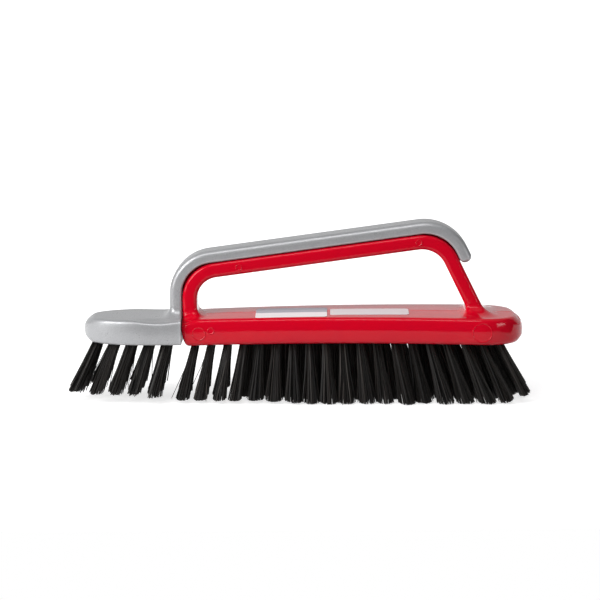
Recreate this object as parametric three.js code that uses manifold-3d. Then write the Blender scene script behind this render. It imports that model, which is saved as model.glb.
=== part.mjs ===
// A two-in-one shoe brush. A long polishing brush carries a loop handle. A short applicator brush
// butts against its toe, and the applicator's own handle lies over the loop and lifts straight off.
//
// Millimetres, +Z up. X runs from the applicator's nose to the heel and Y across the brush.
// The bristle tips stand on Z = 0. While the brush is made, X = 0 is the joint between the two blocks.
import * as THREE from "three";
import { mergeVertices } from "three/addons/utils/BufferGeometryUtils.js";
import Module from "manifold-3d";

const wasm = await Module();
wasm.setup();
const { Manifold, Mesh: SolidMesh } = wasm;

// Bristles
const TUFT_LENGTH = 29.2; // free length from the polishing block down to the floor
const APPLICATOR_SHORTER = 2.4; // the applicator's bristles are shorter by this much
const TUFT_SETTLE = 0.5; // upright tufts are pressed in by this much where the brush stands on them
const TUFT_RADIUS = 1.7; // ring on which a tuft's outer strands are rooted
const TUFT_FLARE = 0.55; // how much wider that ring is at the tips, as a share
const STRAND_RADIUS = 0.62;
const STRANDS_AROUND = 4; // outer strands of a tuft, beside the one in its middle
const ROW_INSET = 6.6; // outer rows, measured in from the block's side
const POLISH_ROWS = 4;
const POLISH_PITCH = 8.5; // along the block, at most
const POLISH_TOE_INSET = 6.8; // first column, from the joint
const POLISH_HEEL_INSET = 13; // last column, from the heel
const APPLICATOR_ROWS = 3;
const APPLICATOR_PITCH = 8.7;
const APPLICATOR_JOINT_INSET = 7.4;
const APPLICATOR_NOSE_INSET = 7.5;
const TOE_LEAN = -14; // degrees along X at the first polishing column
const HEEL_LEAN = 27; // at the last one
const UPRIGHT_SHARE = 0.33; // where along the columns the tufts stand straight
const NOSE_LEAN = -22; // at the applicator's nose
const JOINT_LEAN = -15; // at the applicator's last column
const SIDE_LEAN = 7; // outer rows lean this much outward

// Slices of the blocks that carry the tufts
const PLATE_THICKNESS = 2;
const PLATE_MARGIN = 1; // plate edge beyond the tufts
const SEAT = 0.3; // clearance of a plate in its pocket, and between plates

// Polishing block
const BLOCK_LENGTH = 169.6;
const BLOCK_THICKNESS = 13.5;
const TOE_HALF_WIDTH = 17;
const HEEL_HALF_WIDTH = 23.2;
const HEEL_NOSE = 22; // length of the rounded heel
const HEEL_POWER = 2.2; // how square its outline is
const HEEL_TOP_ROUND = 7;
const HEEL_BOTTOM_ROUND = 5.5;
const TOE_ROUND = 5; // lower corner at the joint
const TOE_FALL = 2.4; // the deck falls away by this much at the joint
const TOE_FALL_LENGTH = 11;
const TOE_CORNER = 2.6; // upright corners at the joint
const BLOCK_TOP_EDGE = 2.2;
const BLOCK_BOTTOM_EDGE = 2.4;
const BLOCK_SIDE_BULGE = 0.5;
const CAMBER = 1.4; // the block bows up this much at its middle
const DECK_CROWN = 0.4; // the deck's middle line stands this much above its edges

// Applicator head
const HEAD_LENGTH = 49.4;
const HEAD_RISE = 1; // its underside above the polishing block's
const HEAD_THICKNESS = 12.5;
const HEAD_HALF_WIDTH = 19.3;
const HEAD_NOSE = 34;
const HEAD_POWER = 2.05;
const HEAD_TOP_ROUND = 6;
const HEAD_BOTTOM_ROUND = 5;
const HEAD_TOP_EDGE = 2;
const HEAD_BOTTOM_EDGE = 1.4;
const HEAD_SIDE_BULGE = 0.3;
const FINGER_HOLLOW = 3; // the top edge is rounder by this much beside the post
const FINGER_HOLLOW_LENGTH = 34;
const FINGER_HOLLOW_CENTRE = 15; // from the joint

// Handles, set out from the line where the two of them meet
const JOINT_GAP = 0.3; // between the two brushes, everywhere
const HANDLE_WIDTH = 17;
const HANDLE_RISE = 24.85; // meeting line's toe corner above the deck
const HANDLE_SLOPE = 7.4; // degrees, rising towards the heel
const POST_LEAN = 26; // degrees from upright, of the heel post
const HEEL_SHELF = 18.3; // deck from the heel post to the heel
const BEND_RADIUS = 16; // toe bend of the meeting line, which the cover follows closely
const HEEL_EASE = 1.5; // the heel bend is wider by this
const LOOP_EASE = 2.5; // the loop's own bends are wider by this, which leaves a dark sliver under the cover
const LOOP_BAR = 7.35; // thickness of the polishing brush's loop
const LOOP_EDGE = 2;
const COVER_BAR = 6; // thickness of the applicator's handle
const COVER_EDGE = 1.8;
const HOOK_REACH = 7.2; // the applicator's handle ends this far past its heel bend
const FOOT_HEIGHT = 4.8; // where the posts spread onto the blocks
const FOOT_REACH = 5; // spread along the brush
const HEEL_FOOT_REACH = 7; // behind the heel post
const FOOT_SINK = 0.2; // the spread's rim dips into the block by this much
const KEY_WIDTH = 6; // rib on the loop that keeps the cover from slipping sideways
const KEY_HEIGHT = 1.8;
const KEY_CLEARANCE = 0.3;

// Ejector marks that the mould leaves on the front
const MARK_HEIGHT = 0.25; // they stand this proud
const MARK_ROOT = 2; // and reach this far into the moulding
const TOE_MARK = { x: 8.6, up: 5, radius: 3.4 };
const GATE_MARK = { x: 14.4, up: 7, radius: 1.8 };
const HEEL_MARK = { fromHeel: 21.5, up: 6.4, radius: 5 };
const LOOP_MARK_RADIUS = 1.7;
const LOOP_MARK_INSET = { toe: 13, heel: 5.4 }; // from the ends of the loop's straight run

// Blank paper labels on the deck
const LABEL_THICKNESS = 0.2;
const LABEL_GAP = 0.1;
const WIDE_LABEL = { x: 36.6, length: 35.4, y: -16.5, width: 25 };
const LABEL_SPACING = 1.6;
const NARROW_LABEL = {
  x: WIDE_LABEL.x + WIDE_LABEL.length + LABEL_SPACING,
  length: 39,
  y: -12.4,
  width: 16,
};

// Fineness of the facets
const CORNER_STEPS = 4;
const NOSE_STEPS = 9;
const STATION_SPACING = 12;
const ARC_STEPS = 11;
const EDGE_STEPS = 3;
const FILLET_STEPS = 5;
const MARK_SIDES = 24;
const STRAND_SIDES = 3;

const DECK = TUFT_LENGTH + BLOCK_THICKNESS;
const HEAD_BOTTOM = TUFT_LENGTH + HEAD_RISE;
const HEAD_TOP = HEAD_BOTTOM + HEAD_THICKNESS;
const HALF_GAP = JOINT_GAP / 2;
const radians = THREE.MathUtils.degToRad;

// Solids: joining, cutting and going between three.js and the solid modeller

function toSolid(geometry) {
  const bare = geometry.clone();
  bare.deleteAttribute("normal");
  bare.deleteAttribute("uv");
  const merged = mergeVertices(bare, 1e-4);
  return new Manifold(
    new SolidMesh({
      numProp: 3,
      vertProperties: new Float32Array(merged.attributes.position.array),
      triVerts: new Uint32Array(merged.index.array),
    }),
  );
}

function toGeometry(solid) {
  const { vertProperties, triVerts } = solid.getMesh();
  const geometry = new THREE.BufferGeometry();
  geometry.setAttribute("position", new THREE.BufferAttribute(vertProperties, 3));
  geometry.setIndex(new THREE.BufferAttribute(triVerts, 1));
  geometry.computeVertexNormals();
  return geometry;
}

const joined = (geometries) => Manifold.union(geometries.map(toSolid));
const cutBy = (solid, geometries) => solid.subtract(joined(geometries));

// A closed skin over rings of points. Each ring turns anticlockwise as seen from the far end.
function loft(rings) {
  const count = rings[0].length;
  const last = rings.length - 1;
  const points = rings.flat().flatMap((p) => [p.x, p.y, p.z]);
  const index = [];
  for (let i = 0; i < last; i++) {
    for (let j = 0; j < count; j++) {
      const a = i * count + j;
      const b = i * count + ((j + 1) % count);
      index.push(a, b, b + count, a, b + count, a + count);
    }
  }
  for (let j = 1; j < count - 1; j++) {
    index.push(0, j + 1, j);
    index.push(last * count, last * count + j, last * count + j + 1);
  }
  const geometry = new THREE.BufferGeometry();
  geometry.setAttribute("position", new THREE.Float32BufferAttribute(points, 3));
  geometry.setIndex(index);
  return geometry;
}

// Sections and stations of the two blocks

// How far a round corner of this radius has come in, at a distance from the end that it rounds.
function roundedIn(radius, distance) {
  const short = Math.max(0, radius - distance);
  return radius - Math.sqrt(radius * radius - short * short);
}

// Share of the full width left at u, from 0 where a rounded end starts to 1 at its tip.
const noseShare = (u, power) => (u <= 0 ? 1 : (1 - u ** power) ** (1 / power));

const camberAt = (x) => CAMBER * (1 - (2 * (x / BLOCK_LENGTH) - 1) ** 2);

function blockHalfWidth(x) {
  const noseStart = BLOCK_LENGTH - HEEL_NOSE;
  const straight = Math.min(x, noseStart) / noseStart;
  const full = THREE.MathUtils.lerp(TOE_HALF_WIDTH, HEEL_HALF_WIDTH, straight);
  return full * noseShare((x - noseStart) / HEEL_NOSE, HEEL_POWER) - roundedIn(TOE_CORNER, x);
}

const blockBottom = (x) => TUFT_LENGTH + camberAt(x);
const toeFall = (x) => TOE_FALL * Math.max(0, 1 - x / TOE_FALL_LENGTH) ** 2;
const deckRidge = (x) => DECK + camberAt(x) - toeFall(x);
const deckHeight = (x, y) => deckRidge(x) - (DECK_CROWN * Math.abs(y)) / HEEL_HALF_WIDTH;

function headHalfWidth(x) {
  const noseStart = HEAD_LENGTH - HEAD_NOSE;
  return HEAD_HALF_WIDTH * noseShare((-x - noseStart) / HEAD_NOSE, HEAD_POWER);
}

// One cross-section of a block: flat sides with a slight belly, round edges and a crowned top.
function blockSection(x, { half, bottom, top, topEdge, bottomEdge, bulge, crown }) {
  const room = Math.min(half, (top - bottom) / 2) * 0.98;
  const upper = Math.min(topEdge, room);
  const lower = Math.min(bottomEdge, room);
  const side = top - crown;
  const ring = [];
  const corner = (y, z, radius, from) => {
    for (let k = 0; k <= CORNER_STEPS; k++) {
      const turn = from + (k / CORNER_STEPS) * (Math.PI / 2);
      ring.push(new THREE.Vector3(x, y + radius * Math.cos(turn), z + radius * Math.sin(turn)));
    }
  };
  const belly = (y) => ring.push(new THREE.Vector3(x, y, (side + bottom) / 2));
  corner(half - lower, bottom + lower, lower, -Math.PI / 2);
  belly(half + bulge);
  corner(half - upper, side - upper, upper, 0);
  ring.push(new THREE.Vector3(x, 0, top));
  corner(upper - half, side - upper, upper, Math.PI / 2);
  belly(-half - bulge);
  corner(lower - half, bottom + lower, lower, Math.PI);
  return ring;
}

// Evenly spread places between two ends, no further apart than the station spacing.
function spread(from, to, spacing = STATION_SPACING) {
  const steps = Math.max(1, Math.ceil(Math.abs(to - from) / spacing));
  return Array.from({ length: steps + 1 }, (_, k) => THREE.MathUtils.lerp(from, to, k / steps));
}

// Places along a rounded end, closing up towards its tip.
function noseStations(start, tip) {
  const share = (k) => Math.sin(((k + 1) / NOSE_STEPS) * 0.97 * (Math.PI / 2));
  return Array.from({ length: NOSE_STEPS }, (_, k) => THREE.MathUtils.lerp(start, tip, share(k)));
}

function blockStations() {
  const noseStart = BLOCK_LENGTH - HEEL_NOSE;
  const corner = [0, 0.1, 0.3, 0.6, 1].map((share) => THREE.MathUtils.lerp(HALF_GAP, TOE_ROUND, share));
  const fall = [TOE_FALL_LENGTH * 0.7, TOE_FALL_LENGTH].filter((x) => x > TOE_ROUND);
  const straight = spread(Math.max(TOE_ROUND, TOE_FALL_LENGTH), noseStart).slice(1);
  return [...corner, ...fall, ...straight, ...noseStations(noseStart, BLOCK_LENGTH)];
}

// The block, or with its sides standing proud of the real ones, which shapes the marks on them.
function polishingBlock(proud = 0) {
  const bulgeShare = (x) => blockHalfWidth(x) / HEEL_HALF_WIDTH;
  return loft(
    blockStations().map((x) => {
      const toHeel = BLOCK_LENGTH - x;
      const top = deckRidge(x) - roundedIn(HEEL_TOP_ROUND, toHeel);
      const bottom = blockBottom(x) + roundedIn(HEEL_BOTTOM_ROUND, toHeel) + roundedIn(TOE_ROUND, x);
      return blockSection(x, {
        half: blockHalfWidth(x) + proud,
        bottom,
        top,
        topEdge: BLOCK_TOP_EDGE + (HEEL_TOP_ROUND - BLOCK_TOP_EDGE) * (1 - bulgeShare(x)) ** 2,
        bottomEdge: BLOCK_BOTTOM_EDGE,
        bulge: BLOCK_SIDE_BULGE * bulgeShare(x),
        crown: DECK_CROWN * bulgeShare(x),
      });
    }),
  );
}

// The top edge falls away beside the post, where a finger rests.
function hollowAt(x) {
  const offset = (-x - FINGER_HOLLOW_CENTRE) / (FINGER_HOLLOW_LENGTH / 2);
  return Math.abs(offset) < 1 ? (FINGER_HOLLOW * (1 + Math.cos(Math.PI * offset))) / 2 : 0;
}

function applicatorHead() {
  const noseStart = HEAD_LENGTH - HEAD_NOSE;
  const stations = [
    ...noseStations(-noseStart, -HEAD_LENGTH).reverse(),
    ...spread(-noseStart, -HALF_GAP, STATION_SPACING / 3),
  ];
  return loft(
    stations.map((x) => {
      const toNose = HEAD_LENGTH + x;
      return blockSection(x, {
        half: headHalfWidth(x),
        bottom: HEAD_BOTTOM + roundedIn(HEAD_BOTTOM_ROUND, toNose),
        top: HEAD_TOP - roundedIn(HEAD_TOP_ROUND, toNose),
        topEdge: HEAD_TOP_EDGE + hollowAt(x),
        bottomEdge: HEAD_BOTTOM_EDGE,
        bulge: HEAD_SIDE_BULGE,
        crown: 0,
      });
    }),
  );
}

// Handles

// The meeting line: up the joint, round the toe bend, along the slope, round the heel bend, down the post.
function meetingLine(toeBend) {
  const heelBend = toeBend + HEEL_EASE;
  const slope = radians(HANDLE_SLOPE);
  const lean = radians(POST_LEAN);
  const along = new THREE.Vector2(Math.cos(slope), Math.sin(slope));
  const down = new THREE.Vector2(Math.sin(lean), -Math.cos(lean));
  const toeCorner = new THREE.Vector2(0, DECK + HANDLE_RISE);
  const heelFoot = new THREE.Vector2(BLOCK_LENGTH - HEEL_SHELF, DECK);
  const reach = heelFoot.clone().sub(toeCorner).cross(down) / along.cross(down);
  const heelCorner = toeCorner.clone().addScaledVector(along, reach);
  const toeTangent = toeBend * Math.tan((Math.PI / 2 - slope) / 2);
  const heelTangent = heelBend * Math.tan((Math.PI / 2 + slope - lean) / 2);
  const heelStart = heelCorner.clone().addScaledVector(along, -heelTangent);
  return {
    toeBend,
    heelBend,
    along,
    down,
    outward: new THREE.Vector2(Math.cos(lean), Math.sin(lean)),
    toeCentre: new THREE.Vector2(toeBend, toeCorner.y - toeTangent),
    heelCentre: heelStart.clone().add(new THREE.Vector2(along.y, -along.x).multiplyScalar(heelBend)),
    runStart: toeCorner.clone().addScaledVector(along, toeTangent),
    runEnd: heelStart,
    bendEnd: heelCorner.clone().addScaledVector(down, heelTangent),
    turned: Math.PI / 2 + slope, // direction of the run's outward side
    lean,
  };
}
const LINE = meetingLine(BEND_RADIUS);
const LOOP_LINE = meetingLine(BEND_RADIUS + LOOP_EASE);

// A point beside the heel post: this far down from the bend, and this far out from the line.
function besidePost(line, reach, out) {
  return line.bendEnd.clone().addScaledVector(line.down, reach).addScaledVector(line.outward, out);
}

// Side outline of a bar that follows a line, from inner to outer.
// It starts at a height on the toe post, or at an angle on the toe bend if startAngle is given.
function barOutline(line, { inner, outer, startHeight, startAngle = Math.PI, reach, roundEnd = false }) {
  const { toeBend, heelBend, toeCentre, heelCentre, turned, lean } = line;
  const shape = new THREE.Shape();
  const onPost = startHeight !== undefined;
  if (onPost) {
    shape.moveTo(-outer, startHeight);
    shape.lineTo(-outer, toeCentre.y);
  }
  shape.absarc(toeCentre.x, toeCentre.y, toeBend + outer, startAngle, turned, true);
  shape.absarc(heelCentre.x, heelCentre.y, heelBend + outer, turned, lean, true);
  const half = (outer - inner) / 2;
  if (roundEnd) {
    const tip = besidePost(line, reach - half, (inner + outer) / 2);
    shape.absarc(tip.x, tip.y, half, lean, lean - Math.PI, true);
  } else {
    shape.lineTo(...besidePost(line, reach, outer).toArray());
    shape.lineTo(...besidePost(line, reach, inner).toArray());
  }
  shape.absarc(heelCentre.x, heelCentre.y, heelBend + inner, lean, turned, false);
  shape.absarc(toeCentre.x, toeCentre.y, toeBend + inner, turned, startAngle, false);
  if (onPost) shape.lineTo(-inner, startHeight);
  return shape;
}

// A bar of this width across the brush, with its long edges rounded.
function bar(outline, width, edge) {
  const depth = width - 2 * edge;
  return new THREE.ExtrudeGeometry(outline, {
    depth,
    curveSegments: ARC_STEPS,
    bevelEnabled: edge > 0,
    bevelThickness: edge,
    bevelSize: edge,
    bevelOffset: -edge,
    bevelSegments: EDGE_STEPS,
  })
    .translate(0, 0, -depth / 2)
    .rotateX(Math.PI / 2);
}

// The spread foot of a post, which runs out level onto the block's top.
// surface(x) is that top, sides(h) the post's lowest and highest X at height h above it, and
// reach how far the foot spreads towards the toe, towards the heel and to each side.
function foot({ surface, sides, reach, edge }) {
  const ringAt = (up, share) => {
    const [low, high] = sides(up);
    const x = [low - reach.toe * share, high + reach.heel * share];
    const y = [-HANDLE_WIDTH / 2 - reach.side * share, HANDLE_WIDTH / 2 + reach.side * share];
    const corners = [[1, 1, reach.heel], [0, 1, reach.toe], [0, 0, reach.toe], [1, 0, reach.heel]];
    return corners.flatMap(([atX, atY, spreads], k) =>
      Array.from({ length: CORNER_STEPS + 1 }, (_, step) => {
        const turn = (k + step / CORNER_STEPS) * (Math.PI / 2);
        const radius = edge + spreads * share;
        const px = x[atX] + (atX ? -radius : radius) + radius * Math.cos(turn);
        const py = y[atY] + (atY ? -radius : radius) + radius * Math.sin(turn);
        return new THREE.Vector3(px, py, surface(px) + up);
      }),
    );
  };
  const rings = [ringAt(-FOOT_HEIGHT / 2, 1)];
  for (let k = 0; k <= FILLET_STEPS; k++) {
    const turn = (k / FILLET_STEPS) * (Math.PI / 2);
    rings.push(ringAt(FOOT_HEIGHT * (1 - Math.cos(turn)) - FOOT_SINK, 1 - Math.sin(turn)));
  }
  return loft(rings);
}

// The loop's rib follows the bend from where lifting the applicator can't catch it on the applicator's
// post. Below that it runs straight down, just clear of the post.
const KEY_START = Math.PI - Math.acos((BEND_RADIUS - JOINT_GAP) / (BEND_RADIUS + KEY_HEIGHT));

function ribRoot() {
  const height = Math.sqrt((BEND_RADIUS + KEY_HEIGHT) ** 2 - (BEND_RADIUS - JOINT_GAP) ** 2);
  const top = LINE.toeCentre.y + height;
  const low = LOOP_LINE.toeCentre.y;
  const corners = [[JOINT_GAP, low], [LOOP_BAR / 2, low], [LOOP_BAR, top], [JOINT_GAP, top]];
  const outline = new THREE.Shape(corners.map(([x, z]) => new THREE.Vector2(x, z)));
  return bar(outline, KEY_WIDTH, 0);
}

function loopHandle() {
  const post = LOOP_BAR + HALF_GAP;
  const outline = barOutline(LOOP_LINE, {
    inner: -post,
    outer: -HALF_GAP,
    startHeight: DECK - FOOT_HEIGHT,
    reach: (LOOP_LINE.bendEnd.y - DECK + FOOT_HEIGHT) / Math.cos(LOOP_LINE.lean),
  });
  const key = barOutline(LINE, { inner: -LOOP_BAR / 2, outer: KEY_HEIGHT, startAngle: KEY_START, reach: 0 });
  const across = 1 / Math.cos(LINE.lean);
  const heelFoot = BLOCK_LENGTH - HEEL_SHELF;
  const heelSide = (up) => heelFoot - (up + camberAt(heelFoot)) * Math.tan(LINE.lean);
  const sideReach = (x) => blockHalfWidth(x) - BLOCK_TOP_EDGE - HANDLE_WIDTH / 2;
  return [
    bar(outline, HANDLE_WIDTH, LOOP_EDGE),
    bar(key, KEY_WIDTH, 0),
    ribRoot(),
    foot({
      surface: deckRidge,
      sides: () => [HALF_GAP, post],
      reach: { toe: 0, heel: FOOT_REACH, side: sideReach(post) },
      edge: LOOP_EDGE,
    }),
    foot({
      surface: deckRidge,
      sides: (up) => [post, HALF_GAP].map((inward) => heelSide(up) - inward * across),
      reach: { toe: FOOT_REACH, heel: HEEL_FOOT_REACH, side: sideReach(heelFoot) },
      edge: LOOP_EDGE,
    }),
  ];
}

function coverHandle() {
  const outline = barOutline(LINE, {
    inner: HALF_GAP,
    outer: HALF_GAP + COVER_BAR,
    startHeight: HEAD_TOP - FOOT_HEIGHT,
    reach: HOOK_REACH,
    roundEnd: true,
  });
  const sideReach = HEAD_HALF_WIDTH - HEAD_TOP_EDGE - FINGER_HOLLOW - HANDLE_WIDTH / 2;
  return [
    bar(outline, HANDLE_WIDTH, COVER_EDGE),
    foot({
      surface: () => HEAD_TOP,
      sides: () => [-HALF_GAP - COVER_BAR, -HALF_GAP],
      reach: { toe: FOOT_REACH, heel: 0, side: sideReach },
      edge: COVER_EDGE,
    }),
  ];
}

function keyGroove() {
  const outline = barOutline(LINE, {
    inner: -KEY_CLEARANCE,
    outer: KEY_HEIGHT + KEY_CLEARANCE,
    reach: KEY_CLEARANCE,
  });
  return bar(outline, KEY_WIDTH + 2 * KEY_CLEARANCE, 0);
}

// Ejector marks: low round pads that follow the front of the block and of the loop

// A round pin across the brush, from one distance in front of its middle plane to another.
function pin(x, z, radius, near, far) {
  const round = new THREE.CylinderGeometry(radius, radius, far - near, MARK_SIDES);
  return round.translate(x, -(near + far) / 2, z);
}

function blockMarks() {
  const onBlock = (x, { up, radius }) => {
    const side = blockHalfWidth(x);
    return pin(x, blockBottom(x) + up, radius, side - MARK_ROOT, side + MARK_ROOT);
  };
  const pins = [
    onBlock(TOE_MARK.x, TOE_MARK),
    onBlock(GATE_MARK.x, GATE_MARK),
    onBlock(BLOCK_LENGTH - HEEL_MARK.fromHeel, HEEL_MARK),
  ];
  return joined(pins).intersect(toSolid(polishingBlock(MARK_HEIGHT)));
}

function loopMarks() {
  const front = HANDLE_WIDTH / 2;
  const middle = new THREE.Vector2(LINE.along.y, -LINE.along.x).multiplyScalar(HALF_GAP + LOOP_BAR / 2);
  const onLoop = (end, inset) => {
    const place = end.clone().addScaledVector(LINE.along, inset).add(middle);
    return pin(place.x, place.y, LOOP_MARK_RADIUS, front - MARK_ROOT, front + MARK_HEIGHT);
  };
  return [onLoop(LINE.runStart, LOOP_MARK_INSET.toe), onLoop(LINE.runEnd, -LOOP_MARK_INSET.heel)];
}

// Tufts, each a bundle of strands rooted in a slice of its block

// A slice of a block's underside between two places along X, or the pocket that it sits in.
function plate({ from, to, half, bottom, grow = 0, below = 0 }) {
  const places = spread(from, to, STATION_SPACING / 3);
  const rings = places.map((place, k) => {
    const past = k === 0 ? -grow : k === places.length - 1 ? grow : 0;
    const x = place + past;
    const inside = half(place) + grow;
    const low = bottom(place) - below;
    const high = bottom(place) + PLATE_THICKNESS + grow;
    const corners = [[-inside, low], [inside, low], [inside, high], [-inside, high]];
    return corners.map(([y, z]) => new THREE.Vector3(x, y, z));
  });
  return loft(rings);
}

// A strand from its root in the plate to the trimmed plane of the tips.
function strand(root, tip) {
  const ring = (centre) =>
    Array.from({ length: STRAND_SIDES }, (_, k) => {
      const turn = (k / STRAND_SIDES) * 2 * Math.PI;
      return new THREE.Vector3(
        centre.x + STRAND_RADIUS * Math.cos(turn),
        centre.y + STRAND_RADIUS * Math.sin(turn),
        centre.z,
      );
    });
  return loft([ring(tip), ring(root)]);
}

// All bristles of a brush are as long, so the tips of a leaning tuft end higher. The rest are cut flat.
function tipHeight(z, shorter, lean) {
  const reach = (z + TUFT_SETTLE - shorter) * Math.cos(radians(lean));
  return Math.max(0, z - reach);
}

function tuft({ x, y, z, leanX, leanY, shorter = 0 }) {
  const root = new THREE.Vector3(x, y, z + PLATE_THICKNESS / 2);
  const drop = root.z - tipHeight(z, shorter, leanX);
  const lean = new THREE.Vector3(drop * Math.tan(radians(leanX)), drop * Math.tan(radians(leanY)), -drop);
  const strands = [strand(root, root.clone().add(lean))];
  for (let k = 0; k < STRANDS_AROUND; k++) {
    const turn = ((k + 0.5) / STRANDS_AROUND) * 2 * Math.PI;
    const out = new THREE.Vector3(Math.cos(turn), Math.sin(turn), 0).multiplyScalar(TUFT_RADIUS);
    const start = root.clone().add(out);
    strands.push(strand(start, start.clone().add(lean).addScaledVector(out, TUFT_FLARE)));
  }
  return strands;
}

// Rows across a block, from -1 at the front row to 1 at the back row.
const rowShares = (rows) => Array.from({ length: rows }, (_, k) => (2 * k) / (rows - 1) - 1);

const plateInset = ROW_INSET - TUFT_RADIUS - STRAND_RADIUS - PLATE_MARGIN;

function polishLean(share) {
  if (share < UPRIGHT_SHARE) return TOE_LEAN * (1 - share / UPRIGHT_SHARE);
  return HEEL_LEAN * ((share - UPRIGHT_SHARE) / (1 - UPRIGHT_SHARE)) ** 1.4;
}

// The polishing tufts, column by column from the joint, and the run of block that carries them.
function polishColumns() {
  const places = spread(POLISH_TOE_INSET, BLOCK_LENGTH - POLISH_HEEL_INSET, POLISH_PITCH);
  return places.map((x, k) => {
    const share = k / (places.length - 1);
    return rowShares(POLISH_ROWS).map((row) => ({
      x,
      y: row * (blockHalfWidth(x) - ROW_INSET),
      z: blockBottom(x),
      leanX: polishLean(share),
      leanY: row * SIDE_LEAN,
    }));
  });
}

// One zone of the polishing tufts with its plate. Neighbouring plates leave a seat's clearance.
function polishTufts(columns, { first, last }) {
  const margin = plateInset > 0 ? TUFT_RADIUS + STRAND_RADIUS + PLATE_MARGIN : 0;
  const between = (a, b) => (columns[a][0].x + columns[b][0].x) / 2;
  const from = first === 0 ? columns[0][0].x - margin : between(first - 1, first) + SEAT / 2;
  const end = columns.length - 1;
  const to = last === end ? columns[end][0].x + margin : between(last, last + 1) - SEAT / 2;
  const slice = plate({ from, to, half: polishPlateHalf, bottom: blockBottom });
  return joined([slice, ...columns.slice(first, last + 1).flat().flatMap(tuft)]);
}

const polishPlateHalf = (x) => blockHalfWidth(x) - plateInset;

function polishPocket(columns) {
  const margin = TUFT_RADIUS + STRAND_RADIUS + PLATE_MARGIN;
  return plate({
    from: columns[0][0].x - margin,
    to: columns[columns.length - 1][0].x + margin,
    half: polishPlateHalf,
    bottom: blockBottom,
    grow: SEAT,
    below: BLOCK_BOTTOM_EDGE,
  });
}

// The applicator's tufts, from the nose to the joint. Rows draw together as the head narrows.
function applicatorColumns() {
  const places = spread(-HEAD_LENGTH + APPLICATOR_NOSE_INSET, -APPLICATOR_JOINT_INSET, APPLICATOR_PITCH);
  return places.map((x, k) => {
    const share = k / (places.length - 1);
    return rowShares(APPLICATOR_ROWS).map((row) => ({
      x,
      y: row * (headHalfWidth(x) - ROW_INSET),
      z: HEAD_BOTTOM,
      shorter: APPLICATOR_SHORTER,
      leanX: THREE.MathUtils.lerp(NOSE_LEAN, JOINT_LEAN, share),
      leanY: row * SIDE_LEAN,
    }));
  });
}

function applicatorPlate(columns, extra = {}) {
  const margin = TUFT_RADIUS + STRAND_RADIUS + PLATE_MARGIN;
  return plate({
    from: columns[0][0].x - margin,
    to: columns[columns.length - 1][0].x + margin,
    half: (x) => headHalfWidth(x) - plateInset,
    bottom: () => HEAD_BOTTOM,
    ...extra,
  });
}

// A thin label that follows the deck's bow and crown.
function label({ x, length, y, width }) {
  const lift = (lx, ly, up) => new THREE.Vector3(lx, ly, deckHeight(lx, ly) + LABEL_GAP + up);
  const across = [y, 0, y + width];
  return loft(
    spread(x, x + length).map((lx) => [
      ...across.map((ly) => lift(lx, ly, 0)),
      ...across.toReversed().map((ly) => lift(lx, ly, LABEL_THICKNESS)),
    ]),
  );
}

// The scene

const redPlastic = { color: 0xc8081f, roughness: 0.25, metalness: 0 };
const silverPlastic = { color: 0xa3a5a8, roughness: 0.35, metalness: 0.4 };
const blackBristle = { color: 0x1a1817, roughness: 0.6, metalness: 0 };
const paper = { color: 0xf2f0ee, roughness: 0.7, metalness: 0 };

function part(name, shape, finish) {
  const geometry = shape.isBufferGeometry ? shape : toGeometry(shape);
  const mesh = new THREE.Mesh(geometry, new THREE.MeshStandardMaterial(finish));
  mesh.name = name;
  return mesh;
}

function polishingBrush() {
  const columns = polishColumns();
  const third = Math.floor(columns.length / 3);
  const zones = {
    polish_tufts_toe: { first: 0, last: third - 1 },
    polish_tufts_middle: { first: third, last: 2 * third - 1 },
    polish_tufts_heel: { first: 2 * third, last: columns.length - 1 },
  };
  const moulding = joined([polishingBlock(), ...loopHandle(), ...loopMarks()]).add(blockMarks());
  const body = cutBy(moulding, [polishPocket(columns)]);
  const brush = new THREE.Group();
  brush.add(part("polish_body", body, redPlastic));
  for (const [name, zone] of Object.entries(zones)) {
    brush.add(part(name, polishTufts(columns, zone), blackBristle));
  }
  brush.add(part("wide_label", label(WIDE_LABEL), paper), part("narrow_label", label(NARROW_LABEL), paper));
  return brush;
}

function applicatorBrush() {
  const columns = applicatorColumns();
  const pocket = applicatorPlate(columns, { grow: SEAT, below: HEAD_BOTTOM_EDGE });
  const body = cutBy(joined([applicatorHead(), ...coverHandle()]), [pocket, keyGroove()]);
  const brush = new THREE.Group();
  brush.add(part("applicator_body", body, silverPlastic));
  const tufts = joined([applicatorPlate(columns), ...columns.flat().flatMap(tuft)]);
  brush.add(part("applicator_tufts", tufts, blackBristle));
  return brush;
}

// Both brushes together, moved along X so that the origin is under the middle of the whole.
const shoeBrush = new THREE.Group();
shoeBrush.add(polishingBrush(), applicatorBrush());
const extent = new THREE.Box3().setFromObject(shoeBrush);
shoeBrush.children.forEach((brush) => {
  brush.position.x = -(extent.min.x + extent.max.x) / 2;
});

export default shoeBrush;
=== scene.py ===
# %% [markdown]
# # A two-in-one shoe brush
# Two brushes nest into one. The long red polishing brush has a loop handle. The short silver applicator
# brush butts against its toe, and its own handle lies over the loop, so it lifts straight off.
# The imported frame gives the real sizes, the two bodies and the joint. Everything below dresses that frame:
# it never moves it. Sizes are in millimetres from the joint between the two blocks, as a maker would
# measure them, and go to Blender's metres in one place.

import math

import bmesh
import bpy
import numpy as np
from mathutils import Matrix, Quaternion, Vector


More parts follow.
